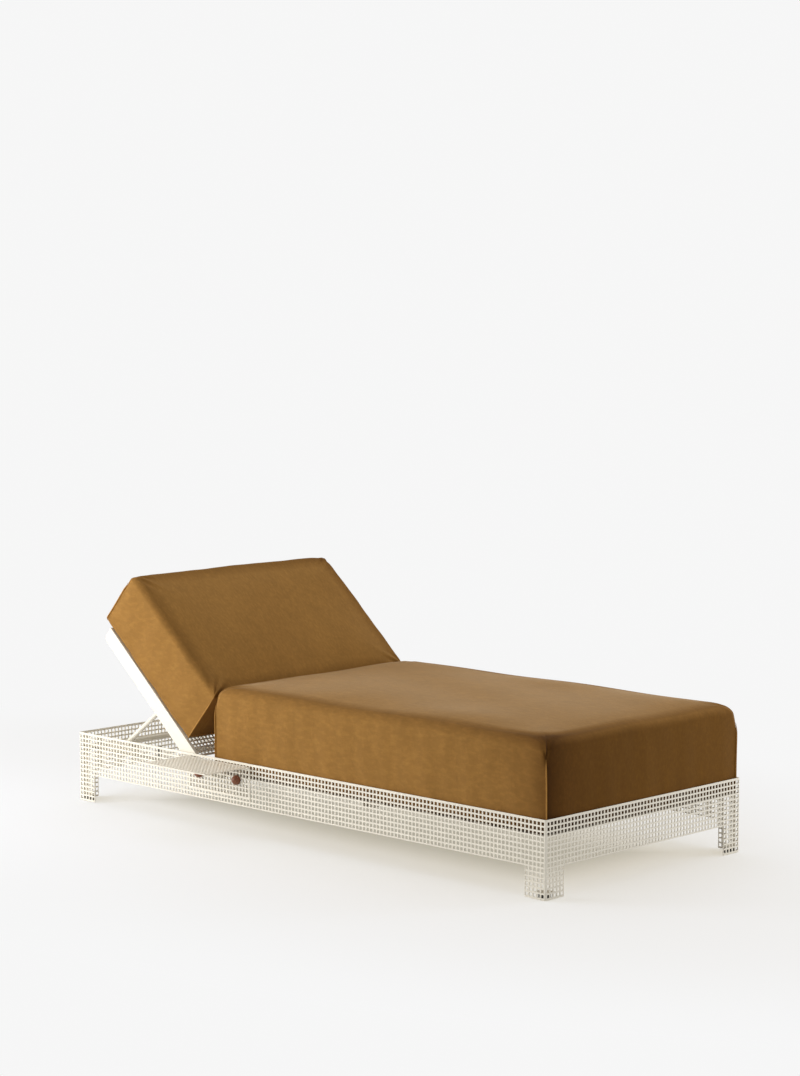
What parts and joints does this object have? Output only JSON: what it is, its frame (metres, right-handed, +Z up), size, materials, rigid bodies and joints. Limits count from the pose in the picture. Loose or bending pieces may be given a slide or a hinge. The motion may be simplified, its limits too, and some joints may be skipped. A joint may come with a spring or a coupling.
{
  "type": "sun lounger",
  "caption": "Sun lounger with a low perforated sheet-metal base, thick seat and back cushions, a back raised by a folding prop, and a clip-on side tray.",
  "frame": {"origin": "on the floor, under the middle of the whole outline with the side tray", "axes": "+X towards the foot end, +Z up, the side tray on the -Y side"},
  "size_m": [2.11, 1.1, 0.7877],
  "materials": {
    "cream_sheet": "satin cream powder coat on perforated sheet",
    "cushion": "ochre suede-like outdoor cloth, matt",
    "rubber": "matt black",
    "nylon": "matt, off-white",
    "steel": "plain, slightly dull",
    "knob": "oiled reddish-brown turned wood"
  },
  "bodies": {
    "base": {"rail_near": "cream_sheet", "rail_far": "cream_sheet", "rail_foot": "cream_sheet", "rail_head": "cream_sheet", "leg_foot_near": "cream_sheet", "leg_foot_far": "cream_sheet", "leg_head_near": "cream_sheet", "leg_head_far": "cream_sheet", "ledge_near": "cream_sheet", "ledge_far": "cream_sheet", "ledge_foot": "cream_sheet", "ledge_head": "cream_sheet", "crossbar_hinge": "cream_sheet", "crossbar_middle": "cream_sheet", "seat_deck": "cream_sheet", "foot_plate_foot_near": "cream_sheet", "foot_plate_foot_far": "cream_sheet", "foot_plate_head_near": "cream_sheet", "foot_plate_head_far": "cream_sheet", "glide_foot_near": "rubber", "glide_foot_far": "rubber", "glide_head_near": "rubber", "glide_head_far": "rubber", "hinge_bracket_near": "cream_sheet", "hinge_bracket_far": "cream_sheet", "hinge_pin_near": "steel", "hinge_pin_far": "steel", "prop_track_near": "cream_sheet", "prop_track_far": "cream_sheet", "prop_stop_near": "cream_sheet", "prop_stop_far": "cream_sheet", "rest_pad_near": "rubber", "rest_pad_far": "rubber", "rim_buffer_near": "rubber", "rim_buffer_far": "rubber", "seat_cushion": "cushion", "side_tray": "cream_sheet", "tray_nuts": "steel"},
    "back": {"back_bar_near": "cream_sheet", "back_bar_far": "cream_sheet", "back_panel": "cream_sheet", "back_top_rail": "cream_sheet", "back_low_rail": "cream_sheet", "prop_pin_near": "steel", "prop_pin_far": "steel", "back_cushion": "cushion"},
    "prop": {"prop_arm_near": "cream_sheet", "prop_arm_far": "cream_sheet", "prop_foot_bar": "cream_sheet", "prop_sleeve_near": "nylon", "prop_sleeve_far": "nylon"},
    "knob_left": {"knob_left": "knob", "knob_stud_left": "steel"},
    "knob_right": {"knob_right": "knob", "knob_stud_right": "steel"}
  },
  "joints": [
    {"name": "backrest_recline", "type": "hinge", "parent": "base", "child": "back", "pos_m": [-0.473, 0.095, 0.2235], "axis": [0, -1, 0], "range_deg": [0, 41]},
    {"name": "prop_fold", "type": "hinge", "parent": "back", "child": "prop", "pos_m": [-0.64953, 0.095, 0.35576], "axis": [0, 1, 0], "range_deg": [0, 82]},
    {"name": "knob_left_turn", "type": "hinge", "parent": "base", "child": "knob_left", "pos_m": [-0.428, -0.369, 0.1775], "axis": [0, -1, 0], "range_deg": [0, 720]},
    {"name": "knob_right_turn", "type": "hinge", "parent": "base", "child": "knob_right", "pos_m": [-0.248, -0.369, 0.1775], "axis": [0, -1, 0], "range_deg": [0, 720]}
  ],
  "couplings": [
    {"joint": "prop_fold", "follows": "backrest_recline", "ratio": 2}
  ]
}
